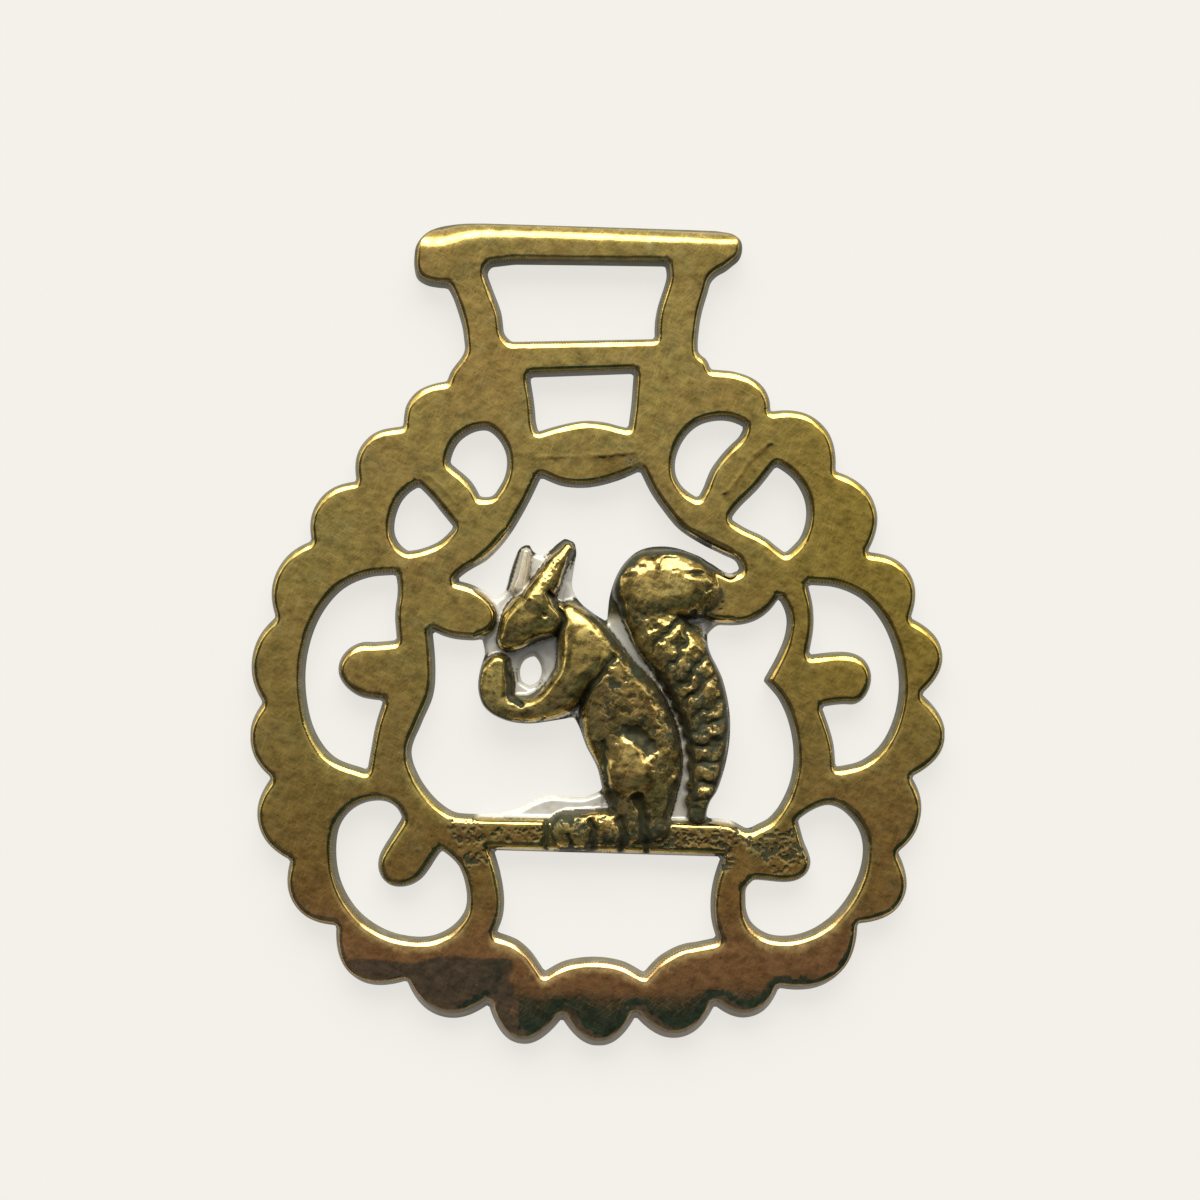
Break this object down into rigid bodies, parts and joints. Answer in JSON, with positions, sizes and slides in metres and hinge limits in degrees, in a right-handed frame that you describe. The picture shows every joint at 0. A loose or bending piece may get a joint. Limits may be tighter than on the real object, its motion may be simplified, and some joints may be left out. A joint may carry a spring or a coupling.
{
  "type": "horse brass",
  "caption": "Openwork brass harness plaque with a scalloped rim, a squirrel in relief inside the ring and a strap loop on top.",
  "frame": {"origin": "centre of the outline's box, on the plane of the flat back", "axes": "+Z out of the face, +Y up to the strap loop, +X to the viewer's right"},
  "size_m": [0.0756, 0.0896, 0.0053],
  "materials": {
    "brass": "worn, with dark patina in the recesses"
  },
  "bodies": {
    "root": {"horse_brass": "brass"}
  },
  "joints": []
}
